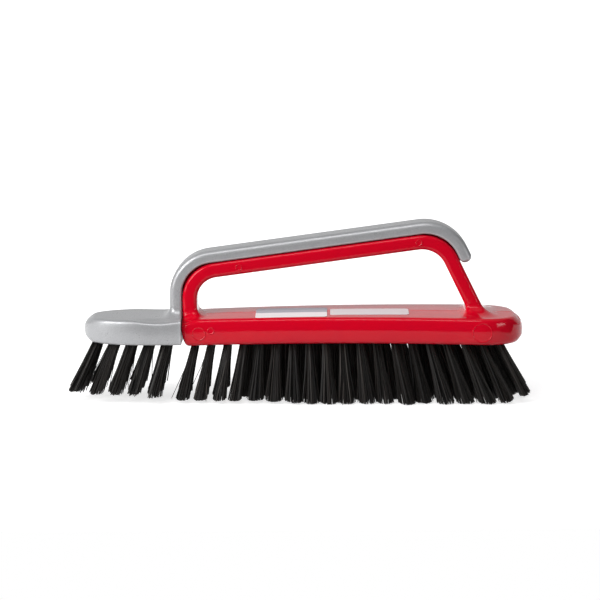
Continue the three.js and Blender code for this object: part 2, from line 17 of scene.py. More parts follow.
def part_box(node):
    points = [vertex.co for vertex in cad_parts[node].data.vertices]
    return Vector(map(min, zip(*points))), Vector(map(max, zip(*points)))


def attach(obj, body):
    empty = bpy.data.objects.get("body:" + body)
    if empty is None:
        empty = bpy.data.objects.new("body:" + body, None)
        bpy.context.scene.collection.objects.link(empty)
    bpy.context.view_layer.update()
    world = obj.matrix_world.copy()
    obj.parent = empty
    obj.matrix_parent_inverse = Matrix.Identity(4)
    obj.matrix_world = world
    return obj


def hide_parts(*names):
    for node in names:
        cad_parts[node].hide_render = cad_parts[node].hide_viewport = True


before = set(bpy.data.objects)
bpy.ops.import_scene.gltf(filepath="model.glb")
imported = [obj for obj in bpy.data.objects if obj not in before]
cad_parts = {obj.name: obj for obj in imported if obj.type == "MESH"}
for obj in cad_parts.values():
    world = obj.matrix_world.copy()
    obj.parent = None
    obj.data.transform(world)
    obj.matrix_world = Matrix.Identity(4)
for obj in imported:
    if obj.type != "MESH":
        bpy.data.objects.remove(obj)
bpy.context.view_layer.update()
MM = 0.001
HALF_GAP = 0.15  # half of the gap between the two brushes
JOINT_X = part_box("polish_body")[0].x - HALF_GAP * MM
POLISHER = "polishing brush"
APPLICATOR = "applicator brush"


def add_object(name, data):
    piece = bpy.data.objects.new(name, data)
    bpy.context.collection.objects.link(piece)
    return piece


# %% [markdown]
# ## The camera
# The photograph looks at the brush almost level, from a little above and a little to the heel's side.
# A long lens from about a metre keeps the block's edges nearly parallel, as they are in the picture.
# The camera comes first, because every later look is judged through it.

# %% Camera
LOOK_AT = Vector((-0.0005, 0.0, 0.0494))
CAMERA_DISTANCE = 1.05
CAMERA_RISE = math.radians(9.5)
CAMERA_TURN = math.radians(0.65)
CAMERA_ROLL = math.radians(-0.52)
LENS = 126

away = Vector((math.sin(CAMERA_TURN), -math.cos(CAMERA_TURN), math.tan(CAMERA_RISE))).normalized()
camera = add_object("camera", bpy.data.cameras.new("camera"))
camera.data.lens = LENS
camera.location = LOOK_AT + away * CAMERA_DISTANCE
level = away.to_track_quat("Z", "Y")
camera.rotation_euler = (level @ Quaternion((0, 0, 1), CAMERA_ROLL)).to_euler()
bpy.context.scene.camera = camera
bpy.context.scene.view_settings.view_transform = "Standard"
print("camera at", [round(v, 3) for v in camera.location])

# %% [markdown]
# ## Skins over rings
# Both mouldings are long shapes whose section changes slowly, so they are made the way a boat is: rings
# of points stand along the piece, and a skin is laid over them. A subdivided box would be quicker, but it
# could not hold the flat butt faces and the tight edge rounds at the same time.

# %% Rings to pieces
WELD = 0.001  # points closer than this become one after a join
CREASE = 32  # degrees between faces


def to_row(points):
    """Millimetres from the joint to metres in the row frame."""
    return np.asarray(points, float) * MM + np.array([JOINT_X, 0.0, 0.0])


def skin(rings):
    """Points and faces of a closed skin over rings that hold equally many points."""
    rings = np.asarray(rings, float)
    count, around = rings.shape[:2]
    start = np.arange(count - 1)[:, None] * around
    here = np.arange(around)
    after = (here + 1) % around
    corners = [start + here, start + after, start + after + around, start + here + around]
    quads = np.stack(corners, -1).reshape(-1, 4).tolist()
    last = (count - 1) * around
    return rings.reshape(-1, 3), [*quads, here[::-1].tolist(), (here + last).tolist()]


def make_piece(name, points, faces):
    """A linked mesh object with its faces turned outward."""
    mesh = bpy.data.meshes.new(name)
    mesh.from_pydata(to_row(points).tolist(), [], faces)
    shell = bmesh.new()
    shell.from_mesh(mesh)
    bmesh.ops.recalc_face_normals(shell, faces=shell.faces)
    shell.to_mesh(mesh)
    shell.free()
    return add_object(name, mesh)


def combine(base, others, operation="UNION"):
    """Joins the other solids to the base, or cuts them from it, and closes what that leaves open."""
    for other in others:
        step = base.modifiers.new(other.name, "BOOLEAN")
        step.operation = operation
        step.solver = "EXACT"
        step.object = other
    graph = bpy.context.evaluated_depsgraph_get()
    shape = bpy.data.meshes.new_from_object(base.evaluated_get(graph))
    base.modifiers.clear()
    base.data = shape
    for other in others:
        bpy.data.objects.remove(other)
    shell = bmesh.new()
    shell.from_mesh(shape)
    bmesh.ops.remove_doubles(shell, verts=shell.verts, dist=WELD * MM)
    bmesh.ops.dissolve_degenerate(shell, edges=shell.edges, dist=WELD * MM)
    bmesh.ops.holes_fill(shell, edges=shell.edges, sides=0)
    many_sided = [face for face in shell.faces if len(face.verts) > 4]
    bmesh.ops.triangulate(shell, faces=many_sided, ngon_method="BEAUTY")
    open_edges = sum(not edge.is_manifold for edge in shell.edges)
    shell.to_mesh(shape)
    shell.free()
    print(base.name, "joined, edges that don't close:", open_edges)


def smooth(piece, crease=CREASE):
    """Smooth shading, with edges sharper than the crease angle left crisp."""
    piece.data.shade_smooth()
    piece.data.set_sharp_from_angle(angle=math.radians(crease))


def settle(piece, node, body):
    """The piece rides with its body and hides the frame's node that it stands for."""
    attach(piece, body)
    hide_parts(node)
    low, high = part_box(node)
    corners = np.array([v.co for v in piece.data.vertices])
    reach = [corners.min(0) - np.array(low), corners.max(0) - np.array(high)]
    off = np.round(np.array(reach) / MM, 2).tolist()
    print(piece.name, len(piece.data.polygons), "faces, off the frame by", off)


print("helpers ready")

# %% [markdown]
# ## The section of a block
# Both blocks have the same kind of section: a flat underside, a gently bellied side and a nearly flat deck,
# with round edges between them. The belly is an arc that runs tangent into the edge rounds. That matters on
# a glossy moulding, because a kink in the side would show as a second line in its reflections. Round a tip
# the section cuts the edge on a slant, so there its round is part of an ellipse.

# %% Section and ends
SIDE_TURN = math.radians(11)  # how far the belly leans over at its two ends
SEAM_WIDTH = 0.7  # the mould's parting line along the deck
SEAM_SHARE = 0.4
SEAM_DEPTH = 0.32
SCOOP_REACH = 5.5
SCOOP_SHARE = 0.6  # of a deck too narrow for it
LEAST_EDGE = 0.2
EDGE_UP_SHARE = 0.49  # the most of a section's height and half width that an edge round takes
EDGE_ACROSS_SHARE = 0.96
PLAN_STEP = 0.01  # over which a slope is measured
TIP_SHARE = 0.997  # the last ring stands just short of the tip
FLAT_STEPS, EDGE_STEPS, SIDE_STEPS, SCOOP_STEPS, DECK_STEPS = 4, 8, 10, 5, 6
SIDE_POINTS = slice(FLAT_STEPS, FLAT_STEPS + 2 * EDGE_STEPS + SIDE_STEPS + 1)  # between flat and deck


def rounded_in(radius, distance):
    """How far a round corner has come in, at a distance from the end that it rounds."""
    short = np.maximum(0.0, radius - distance)
    return radius - np.sqrt(radius**2 - short**2)


def nose_share(u, power):
    """Share of the full width left at u, from 0 where a rounded end starts to 1 at its tip."""
    return (1 - np.clip(u, 0, 1) ** power) ** (1 / power)


def tip_stations(length, count):
    """Distances from where a rounded end starts, closer together towards its tip."""
    return length * np.sin(np.linspace(0, TIP_SHARE, count) * math.pi / 2)


def arc(centre_a, centre_b, radius, start, end, steps=EDGE_STEPS):
    turns = np.linspace(start, end, steps + 1)
    return np.stack([centre_a + radius * np.cos(turns), centre_b + radius * np.sin(turns)], -1)


def corner(across, up, start, end):
    """A stretch of an ellipse about the origin, between two directions that it faces."""
    faces = np.linspace(start, end, EDGE_STEPS + 1)
    turns = np.arctan2(up * np.sin(faces), across * np.cos(faces))
    return np.stack([across * np.cos(turns), up * np.sin(turns)], -1)


def tip_edge(edge, tip_round, slope, gone, half, height):
    """An edge round as (across, up). It grows to the tip's round and widens where the plan turns the tip.

    The slope is the plan's, and gone is how much of the tip's round the section has lost already.
    """
    turned = (slope**2 / (1 + slope**2)) ** 2
    radius = edge + (tip_round - edge) * turned
    up = min(max(radius - gone, LEAST_EDGE), EDGE_UP_SHARE * height)
    return min(radius * math.hypot(1, slope), EDGE_ACROSS_SHARE * half), up


def half_section(half, bottom, top, upper, lower, belly, crown, full_half, groove, scoop=0.0):
    """The right half of a block's section in Y and Z, from the middle of its underside to its top.

    Upper and lower are its edge rounds as (across, up). With a scoop angle, the deck slopes down over
    SCOOP_REACH before it rounds over.
    """
    turn = SIDE_TURN * min(1.0, half / full_half)
    side = top - crown
    reach = min(SCOOP_REACH, SCOOP_SHARE * (half - upper[0])) if scoop else 0.0
    over = corner(*upper, turn, math.pi / 2 - scoop)
    under = corner(*lower, -math.pi / 2, -turn)
    over[:, 1] += side - reach * math.tan(scoop) - over[-1, 1]
    under[:, 1] += bottom - under[0, 1]
    radius = (over[0, 1] - under[-1, 1]) / 2 / math.sin(turn)
    end = half + belly - radius * (1 - math.cos(turn))
    over[:, 0] += end - over[0, 0]
    under[:, 0] += end - under[-1, 0]
    inner = over[-1, 0] - reach
    slope_y = inner + reach * np.linspace(1, 0, SCOOP_STEPS + 1)[1:]
    flat = np.linspace(0, under[0, 0], FLAT_STEPS + 1)[:-1]
    deck = np.linspace(inner, min(SEAM_WIDTH / 2, SEAM_SHARE * inner), DECK_STEPS + 1)[1:]
    return np.concatenate([
        np.stack([flat, np.full(len(flat), bottom)], -1),
        under,
        arc(half + belly - radius, (over[0, 1] + under[-1, 1]) / 2, radius, -turn, turn, SIDE_STEPS)[1:-1],
        over,
        np.stack([slope_y, side - (slope_y - inner) * math.tan(scoop)], -1)[: SCOOP_STEPS if scoop else 0],
        np.stack([deck, side + crown * (1 - deck / max(inner, SEAM_WIDTH))], -1),
        [[0.0, side + crown - groove]],
    ])


def plan_slope(half_width, x):
    """How fast a plan narrows at x."""
    return abs(half_width(x + PLAN_STEP) - half_width(x - PLAN_STEP)) / (2 * PLAN_STEP)


def block_ring(x, back, front):
    """One closed section at x: the back half as it is, the front half mirrored."""
    section = np.concatenate([back, front[-2:0:-1] * [-1, 1]])
    return np.column_stack([np.full(len(section), x), section])


print("half a section has", len(half_section(18, 30, 43, (2, 2), (2, 2), 0.5, 0.4, 18, 0)), "points")

# %% [markdown]
# ## The polishing block
# The red block widens from its toe to its heel, bows up slightly in the middle and ends in a rounded heel.
# Its toe is cut square where the applicator butts against it, with a well-rounded lower corner and a deck
# that falls away. All of this is in the stations: each works out its own width, top and bottom.

# %% Polishing block
TUFT_LENGTH = 29.2
BLOCK_LENGTH = 169.6
BLOCK_THICKNESS = 13.5
TOE_HALF = 17.0
HEEL_HALF = 23.2
HEEL_NOSE = 22.0
HEEL_POWER = 2.2
HEEL_TOP_ROUND = 7.0
HEEL_BOTTOM_ROUND = 4.5
TOE_ROUND = 3.6
TOE_ROUND_HEIGHT = 9.0
TOE_CORNER = 2.6
TOE_FALL = 2.4
TOE_FALL_LENGTH = 11.0
BLOCK_EDGE = 2.2
BLOCK_LOWER_EDGE = 2.4
BLOCK_BELLY = 0.5
CAMBER = 1.4
CROWN = 0.4
DECK = TUFT_LENGTH + BLOCK_THICKNESS
HEEL_START = BLOCK_LENGTH - HEEL_NOSE
TOE_RINGS, STRAIGHT_RINGS, HEEL_RINGS = 20, 48, 34
TOE_CROWDING = 1.8  # how much closer the toe's rings stand at its end


def camber(x):
    return CAMBER * (1 - (2 * x / BLOCK_LENGTH - 1) ** 2)


def block_half(x):
    full = TOE_HALF + (HEEL_HALF - TOE_HALF) * np.minimum(x, HEEL_START) / HEEL_START
    return full * nose_share((x - HEEL_START) / HEEL_NOSE, HEEL_POWER) - rounded_in(TOE_CORNER, x)


def deck_ridge(x):
    return DECK + camber(x) - TOE_FALL * np.maximum(0, 1 - x / TOE_FALL_LENGTH) ** 2


def deck_height(x, y):
    return deck_ridge(x) - CROWN * np.abs(y) / HEEL_HALF


def polishing_section(x):
    half = block_half(x)
    share = half / HEEL_HALF
    to_heel = BLOCK_LENGTH - x
    over, under = (rounded_in(r, to_heel) for r in (HEEL_TOP_ROUND, HEEL_BOTTOM_ROUND))
    toe_lift = TOE_ROUND_HEIGHT / TOE_ROUND * rounded_in(TOE_ROUND, x)
    bottom = TUFT_LENGTH + camber(x) + under + toe_lift
    top = deck_ridge(x) - over
    slope = plan_slope(block_half, x) if to_heel < HEEL_NOSE else 0.0
    upper = tip_edge(BLOCK_EDGE, HEEL_TOP_ROUND, slope, over, half, top - bottom)
    lower = tip_edge(BLOCK_LOWER_EDGE, HEEL_BOTTOM_ROUND, slope, under, half, top - bottom)
    shape = (BLOCK_BELLY * share, CROWN * share, HEEL_HALF, SEAM_DEPTH)
    return half_section(half, bottom, top, upper, lower, *shape)


def polishing_ring(x):
    section = polishing_section(x)
    return block_ring(x, section, section)


stations = np.concatenate([
    HALF_GAP + (TOE_FALL_LENGTH - HALF_GAP) * np.linspace(0, 1, TOE_RINGS) ** TOE_CROWDING,
    np.linspace(TOE_FALL_LENGTH, HEEL_START, STRAIGHT_RINGS)[1:-1],
    HEEL_START + tip_stations(HEEL_NOSE, HEEL_RINGS),
])
polish_body = make_piece("polish_body_moulding", *skin([polishing_ring(x) for x in stations]))
print("polishing block with", len(stations), "stations")

# %% [markdown]
# ## The line where the handles meet
# The red loop and the silver cover share one line: up the joint, round a bend, along the sloping run, round
# the heel bend and down the leaning post. Each bar lies on its own side of it. Working both out from one
# line keeps the same thin gap between them all the way. The loop's own bends are a little wider, which
# leaves the dark sliver that shows under the cover at each bend.

# %% Handle line
HANDLE_RISE = 24.85  # toe corner of the line above the deck
HANDLE_SLOPE = math.radians(7.4)
POST_LEAN = math.radians(26)
HEEL_SHELF = 18.3  # deck from the heel post to the heel
BEND = 16.0
HEEL_EASE = 1.5  # the heel bend is wider than the toe bend by this
LOOP_EASE = 2.5
RUN = np.array([math.cos(HANDLE_SLOPE), math.sin(HANDLE_SLOPE)])  # along the sloping run
INWARD = np.array([RUN[1], -RUN[0]])
BEND_STEP = math.radians(4)
RUN_STATIONS = 40
POST_STEP = 2.5


def handle_line(toe_bend):
    """The centres of the two bends and the straight stretches between them, in X and Z."""
    heel_bend = toe_bend + HEEL_EASE
    down = np.array([math.sin(POST_LEAN), -math.cos(POST_LEAN)])
    toe = np.array([0.0, DECK + HANDLE_RISE])
    foot = np.array([BLOCK_LENGTH - HEEL_SHELF, DECK])
    reach, _ = np.linalg.solve(np.column_stack([RUN, down]), foot - toe)
    heel = toe + RUN * reach
    toe_cut = toe_bend * math.tan((math.pi / 2 - HANDLE_SLOPE) / 2)
    heel_cut = heel_bend * math.tan((math.pi / 2 + HANDLE_SLOPE - POST_LEAN) / 2)
    return {
        "toe_bend": toe_bend,
        "heel_bend": heel_bend,
        "down": down,
        "toe_centre": np.array([toe_bend, toe[1] - toe_cut]),
        "heel_centre": heel - RUN * heel_cut + INWARD * heel_bend,
        "bend_end": heel + down * heel_cut,
        "run_start": toe + RUN * toe_cut,
        "run_end": heel - RUN * heel_cut,
    }


def steps_between(start, end, size):
    return np.linspace(start, end, max(2, int(math.ceil(abs(end - start) / size)) + 1))


def line_stations(line, bottom=None, start=math.pi, reach=0.0, step=POST_STEP):
    """Places along the line and the directions outward from it, as two arrays in X and Z."""
    square = math.pi / 2 + HANDLE_SLOPE
    rounds = []
    for end, first, last in (("toe", start, square), ("heel", square, POST_LEAN)):
        turns = steps_between(first, last, BEND_STEP)
        rays = np.stack([np.cos(turns), np.sin(turns)], -1)
        rounds.append([(line[f"{end}_centre"] + line[f"{end}_bend"] * ray, ray) for ray in rays])
    run = np.linspace(line["run_start"], line["run_end"], RUN_STATIONS)[1:-1]
    outward = np.array([math.cos(square), math.sin(square)])
    places = []
    if bottom is not None:
        rise = steps_between(bottom, line["toe_centre"][1], step)[:-1]
        places += [(np.array([0.0, z]), np.array([-1.0, 0.0])) for z in rise]
    places += rounds[0] + [(p, outward) for p in run] + rounds[1]
    if reach:
        lean = np.array([math.cos(POST_LEAN), math.sin(POST_LEAN)])
        places += [(line["bend_end"] + line["down"] * s, lean) for s in steps_between(0, reach, step)[1:]]
    return np.array([p for p, _ in places]), np.array([n for _, n in places])


loop_line = handle_line(BEND + LOOP_EASE)
cover_line = handle_line(BEND)
print("sloping run from", cover_line["run_start"].round(1), "to", cover_line["run_end"].round(1))

# %% [markdown]
# ## The loop handle
# The red loop is a flat bar with rounded edges, and a low rib along it keeps the cover from slipping off
# sideways. A curve object with a bevel would do for both, but its section would twist in the bends. Here
# every ring stands square on the handle line, so the bar's sides stay parallel to the brush.

# %% Loop bar and its rib
HANDLE_WIDTH = 17.0
LOOP_BAR = 7.35
LOOP_EDGE = 2.0
RIB_WIDTH = 6.0
RIB_HEIGHT = 1.8
RIB_EDGE = 0.4
ROOT_INSET = 0.05  # sides that lie in one plane make a poor join
RIB_REACH = 4.5  # how far the rib runs down the heel post
FOOT_HEIGHT = 4.8


def bar_section(inner, outer, width, inner_edge, outer_edge):
    """A rounded rectangle as distances out from the line and across the brush."""
    arcs = []
    for k, (far, side) in enumerate([(True, 1), (False, 1), (False, -1), (True, -1)]):
        edge = outer_edge if far else inner_edge
        out = outer - edge if far else inner + edge
        arcs.append(arc(out, side * (width / 2 - edge), edge, k * math.pi / 2, (k + 1) * math.pi / 2))
    return np.concatenate(arcs)


def swept(name, places, outward, sections):
    """A bar along the line, with one section a station."""
    rings = []
    for place, normal, section in zip(places, outward, sections):
        flat = place + section[:, :1] * normal
        rings.append(np.column_stack([flat[:, 0], section[:, 1], flat[:, 1]]))
    return make_piece(name, *skin(rings))


loop_reach = (loop_line["bend_end"][1] - DECK + FOOT_HEIGHT) / math.cos(POST_LEAN)
places, outward = line_stations(loop_line, bottom=DECK - FOOT_HEIGHT, reach=loop_reach)
section = bar_section(-HALF_GAP - LOOP_BAR, -HALF_GAP, HANDLE_WIDTH, LOOP_EDGE, LOOP_EDGE)
loop_bar = swept("loop_bar", places, outward, [section] * len(places))

rib_start = math.pi - math.acos((BEND - 2 * HALF_GAP) / (BEND + RIB_HEIGHT))
places, outward = line_stations(cover_line, start=rib_start, reach=RIB_REACH)
section = bar_section(-LOOP_BAR / 2, RIB_HEIGHT, RIB_WIDTH, RIB_EDGE, RIB_EDGE)
loop_rib = swept("loop_rib", places, outward, [section] * len(places))
# Below the bend the rib runs straight down, so that the cover can still lift off past it.
rib_face = 2 * HALF_GAP
rib_top = cover_line["toe_centre"][1] + math.sqrt((BEND + RIB_HEIGHT) ** 2 - (BEND - rib_face) ** 2)
rib_low = loop_line["toe_centre"][1]
outline = [(rib_face, rib_low), (LOOP_BAR / 2, rib_low), (LOOP_BAR, rib_top), (rib_face, rib_top)]
root_half = RIB_WIDTH / 2 - ROOT_INSET
sides = [[(x, y, z) for x, z in outline] for y in (-root_half, root_half)]
rib_root = make_piece("rib_root", *skin(sides))
print("loop and rib swept over", len(places), "stations")

# %% [markdown]
# ## Feet of the posts
# Where a post meets its block, the moulding spreads in a wide fillet that runs out level at the block's
# edge. A bevel on the joint's edge would keep one radius all round. The real foot reaches further to the
# sides than along the brush, so it is skinned over its own rings, each draped on the deck.

# %% Feet
FOOT_REACH = 5.0
HEEL_FOOT_REACH = 7.0
TOE_FOOT_SHORT = 0.6  # the toe's foot stops short of the deck's edge
FOOT_SINK = 0.04  # a foot starts this much below the deck
FOOT_RINGS = 14
FOOT_SIDE_STEPS = 7


def foot_ring(up, share, surface, sides, reach, edge):
    """One level of a foot: a rounded rectangle at a height above the surface below it.

    The reach goes to the toe, to the heel and to the sides. The edge is the post's, at the toe and heel.
    """
    low, high = sides(up)
    toe, heel, side = reach
    x = [low - toe * share, high + heel * share]
    y = HANDLE_WIDTH / 2 + side * share
    rounds = []
    for k, (at, sign, spread) in enumerate([(1, 1, heel), (0, 1, toe), (0, -1, toe), (1, -1, heel)]):
        radius = edge[at] + spread * share
        middle = x[at] + (-radius if at else radius)
        rounds.append(arc(middle, sign * (y - radius), radius, k * math.pi / 2, (k + 1) * math.pi / 2))
    plan = []
    for this, following in zip(rounds, rounds[1:] + rounds[:1]):
        plan += [this, np.linspace(this[-1], following[0], FOOT_SIDE_STEPS + 1)[1:-1]]
    plan = np.concatenate(plan)
    return np.column_stack([plan, surface(plan[:, 0], plan[:, 1]) + up])


def foot(name, surface, sides, reach, edge):
    """A quarter round of rings from the deck up to the post, on one ring sunk into the block."""
    rings = [foot_ring(-FOOT_HEIGHT / 2, 1.0, surface, sides, reach, edge)]
    for turn in np.linspace(0, math.pi / 2, FOOT_RINGS):
        up = FOOT_HEIGHT * (1 - math.cos(turn)) - FOOT_SINK
        rings.append(foot_ring(up, 1 - math.sin(turn), surface, sides, reach, edge))
    return make_piece(name, *skin(rings))


post = LOOP_BAR + HALF_GAP
heel_foot_x = BLOCK_LENGTH - HEEL_SHELF


def heel_post_sides(up):
    face = heel_foot_x - (up + camber(heel_foot_x)) * math.tan(POST_LEAN)
    return [face - inward / math.cos(POST_LEAN) for inward in (post, HALF_GAP)]


def side_reach(x):
    return block_half(x) - BLOCK_EDGE - HANDLE_WIDTH / 2


loop_edges = (LOOP_EDGE, LOOP_EDGE)
toe_reach = (0.0, FOOT_REACH, side_reach(post) - TOE_FOOT_SHORT)
heel_reach = (FOOT_REACH, HEEL_FOOT_REACH, side_reach(heel_foot_x))
toe_foot = foot("toe_foot", deck_height, lambda up: (HALF_GAP, post), toe_reach, loop_edges)
heel_foot = foot("heel_foot", deck_height, heel_post_sides, heel_reach, loop_edges)
print("feet reach", round(side_reach(post), 1), "and", round(side_reach(heel_foot_x), 1), "mm to each side")

# %% [markdown]
# ## Ejector marks
# Round pins push the moulding out of its mould, and each leaves a faint raised disc on the front. They are
# small solids that follow the block's side, joined to it, so that they catch the light as the real ones do.
# A bump texture would vanish from the exported mesh.

# %% Marks, then one moulding
MARK_HEIGHT = 0.3
MARK_RIM = 0.25
MARK_POINTS = 48
# Its profile as rims in from the edge and lift, then its floor as shares of the radius and lift.
MARK_PROFILE = [(0.0, -1.2), (0.0, 0.0), (0.6, 0.8), (1.0, 1.0), (1.4, 0.8), (2.2, 0.3)]
MARK_FLOOR = [(0.5, 0.25), (0.2, 0.25)]
# Place along the block, height above its underside and radius, then place along the loop's run.
BLOCK_MARKS = {
    "toe_mark": (8.6, 6.3, 3.4),
    "gate_mark": (14.6, 7.7, 1.8),
    "heel_mark": (BLOCK_LENGTH - 21.5, 6.4, 5.0),
}
LOOP_MARKS = {"loop_mark_toe": ("run_start", 14.2), "loop_mark_heel": ("run_end", -1.4)}
LOOP_MARK_RADIUS = 1.7


def block_front(x, z):
    """How far the block's front stands from its middle plane, read off its sections."""
    sides = [polishing_section(place)[SIDE_POINTS] for place in x]
    return np.array([np.interp(up, side[:, 1], side[:, 0]) for up, side in zip(z, sides)])


def loop_front(x, z):
    return np.full(np.shape(x), HANDLE_WIDTH / 2)


def mark(name, x, z, radius, front):
    """A low disc with a raised rim that follows the front it stands on."""
    turns = np.linspace(0, 2 * math.pi, MARK_POINTS + 1)[:-1]
    profile = [(1 - inward * (MARK_RIM / radius), lift) for inward, lift in MARK_PROFILE]
    rings = []
    for share, lift in profile + MARK_FLOOR:
        px = x + radius * share * np.cos(turns)
        pz = z + radius * share * np.sin(turns)
        rings.append(np.column_stack([px, -front(px, pz) - lift * MARK_HEIGHT, pz]))
    return make_piece(name, *skin(rings))


marks = []
for name, (x, up, radius) in BLOCK_MARKS.items():
    marks.append(mark(name, x, TUFT_LENGTH + camber(x) + up, radius, block_front))
for name, (end, inset) in LOOP_MARKS.items():
    x, z = cover_line[end] + RUN * inset + INWARD * (HALF_GAP + LOOP_BAR / 2)
    marks.append(mark(name, x, z, LOOP_MARK_RADIUS, loop_front))
combine(polish_body, [loop_bar, toe_foot, heel_foot, loop_rib, rib_root, *marks])
smooth(polish_body)
settle(polish_body, "polish_body", POLISHER)

# %% [markdown]
# ## The applicator's head
# The silver head is a shorter block with a long rounded nose. Its top edge is crisp at the nose and worn
# back beside the post, where a finger rests. It is skinned over rings like the red block, but the two halves
# of a ring differ: the front slopes down to its edge, and the back's edge is only rounder.

# %% Applicator head
HEAD_LENGTH = 49.4
HEAD_RISE = 1.0  # its underside above the polishing block's
HEAD_THICKNESS = 12.5
HEAD_HALF = 19.3
HEAD_NOSE = 34.0
HEAD_POWER = 2.05
HEAD_TOP_ROUND = 6.0
HEAD_BOTTOM_ROUND = 5.0
HEAD_EDGE = 2.0
HEAD_LOWER_EDGE = 1.4
HEAD_BELLY = 0.3
SCOOP_ANGLE = math.radians(13)
SCOOP_LENGTH = 32.0
SCOOP_CENTRE = 12.0
LEAST_SCOOP = 1e-6  # keeps as many points in every ring
BACK_WORN = 3.0  # the back edge is rounder by this beside the post
HEAD_BOTTOM = TUFT_LENGTH + HEAD_RISE
HEAD_TOP = HEAD_BOTTOM + HEAD_THICKNESS
HEAD_NOSE_START = HEAD_LENGTH - HEAD_NOSE
NOSE_RINGS, HEAD_RINGS = 40, 12


def head_half(x):
    return HEAD_HALF * nose_share((-x - HEAD_NOSE_START) / HEAD_NOSE, HEAD_POWER)


def scoop_angle(x):
    offset = np.clip((-np.asarray(x) - SCOOP_CENTRE) / (SCOOP_LENGTH / 2), -1, 1)
    return SCOOP_ANGLE * (1 + np.cos(math.pi * offset)) / 2


def head_height(x, y):
    past = np.maximum(0, -np.asarray(y) - (HEAD_HALF - HEAD_EDGE - SCOOP_REACH))
    return HEAD_TOP - past * np.tan(scoop_angle(x))


def head_ring(x):
    to_nose = HEAD_LENGTH + x
    over, under = (rounded_in(r, to_nose) for r in (HEAD_TOP_ROUND, HEAD_BOTTOM_ROUND))
    bottom = HEAD_BOTTOM + under
    top = HEAD_TOP - over
    scoop = max(scoop_angle(x), LEAST_SCOOP)
    half = head_half(x)
    slope = plan_slope(head_half, x) if -x > HEAD_NOSE_START else 0.0
    worn = HEAD_EDGE + BACK_WORN * scoop / SCOOP_ANGLE
    front_edge, back_edge = (
        tip_edge(edge, HEAD_TOP_ROUND, slope, over, half, top - bottom) for edge in (HEAD_EDGE, worn)
    )
    lower = tip_edge(HEAD_LOWER_EDGE, HEAD_BOTTOM_ROUND, slope, under, half, top - bottom)
    shape = (lower, HEAD_BELLY * half / HEAD_HALF, 0.0, HEAD_HALF, 0.0)
    back = half_section(half, bottom, top, back_edge, *shape, scoop=LEAST_SCOOP)
    front = half_section(half, bottom, top, front_edge, *shape, scoop=scoop)
    return block_ring(x, back, front)


nose = -HEAD_NOSE_START - tip_stations(HEAD_NOSE, NOSE_RINGS)[::-1]
stations = np.concatenate([nose, np.linspace(-HEAD_NOSE_START, -HALF_GAP, HEAD_RINGS)[1:]])
applicator_body = make_piece("applicator_body_moulding", *skin([head_ring(x) for x in stations]))
print("applicator head with", len(stations), "stations")

# %% [markdown]
# ## The cover bar
# The applicator's handle lies over the loop and ends in a hook with a round tip. It is swept along the shared
# line like the loop, and its sections shrink over the last few millimetres to round the tip. The groove
# under it takes the loop's rib, and is cut out as the mould's core would form it.

# %% Cover bar, hook and groove
COVER_BAR = 6.0
COVER_INNER_EDGE = 1.2
COVER_OUTER_EDGE = 2.8
COVER_FOOT_INSET = 3.0  # its foot ends this far inside the head's edge
HOOK_REACH = 6.3
RIB_CLEARANCE = 0.3
COVER_STEP = 0.4
LEAST_TIP = 0.25  # half of what is left of the bar at the hook's tip

places, outward = line_stations(cover_line, bottom=HEAD_TOP - FOOT_HEIGHT, reach=HOOK_REACH, step=COVER_STEP)
half_bar = COVER_BAR / 2
middle = HALF_GAP + half_bar
sections = []
for place in places:
    past_bend = (place - cover_line["bend_end"]) @ cover_line["down"]
    to_tip = HOOK_REACH - past_bend if past_bend > 0 else BEND
    half = max(LEAST_TIP, half_bar - rounded_in(half_bar, to_tip))
    width = HANDLE_WIDTH - 2 * rounded_in(COVER_OUTER_EDGE, to_tip)
    edges = [min(edge, EDGE_ACROSS_SHARE * half) for edge in (COVER_INNER_EDGE, COVER_OUTER_EDGE)]
    sections.append(bar_section(middle - half, middle + half, width, *edges))
cover_bar = swept("cover_bar", places, outward, sections)

cover_post_foot = foot(
    "cover_foot",
    head_height,
    lambda up: (-HALF_GAP - COVER_BAR, -HALF_GAP),
    (FOOT_REACH, 0.0, HEAD_HALF - HEAD_EDGE - COVER_FOOT_INSET - HANDLE_WIDTH / 2),
    (COVER_OUTER_EDGE, COVER_INNER_EDGE),
)
places, outward = line_stations(cover_line, reach=RIB_REACH + RIB_CLEARANCE)
groove_width = RIB_WIDTH + 2 * RIB_CLEARANCE
section = bar_section(-RIB_CLEARANCE, RIB_HEIGHT + RIB_CLEARANCE, groove_width, RIB_EDGE, RIB_EDGE)
groove = swept("groove", places, outward, [section] * len(places))
combine(applicator_body, [cover_bar, cover_post_foot])
combine(applicator_body, [groove], "DIFFERENCE")
smooth(applicator_body)
settle(applicator_body, "applicator_body", APPLICATOR)

# %% [markdown]
# ## Where the tufts are set
# Tufts stand in columns along the block and rows across it. They lean out over the toe and further out over
# the heel, and the outer rows lean to the sides. Past the first columns each row is moved on by its own share
# of a pitch, which closes the gaps that show at the toe. In a few columns two rows stay in line, and daylight
# shows past them. The layout is worked out first, as a plain list of places and leans, so that the bristles
# can be grown from it in one go.

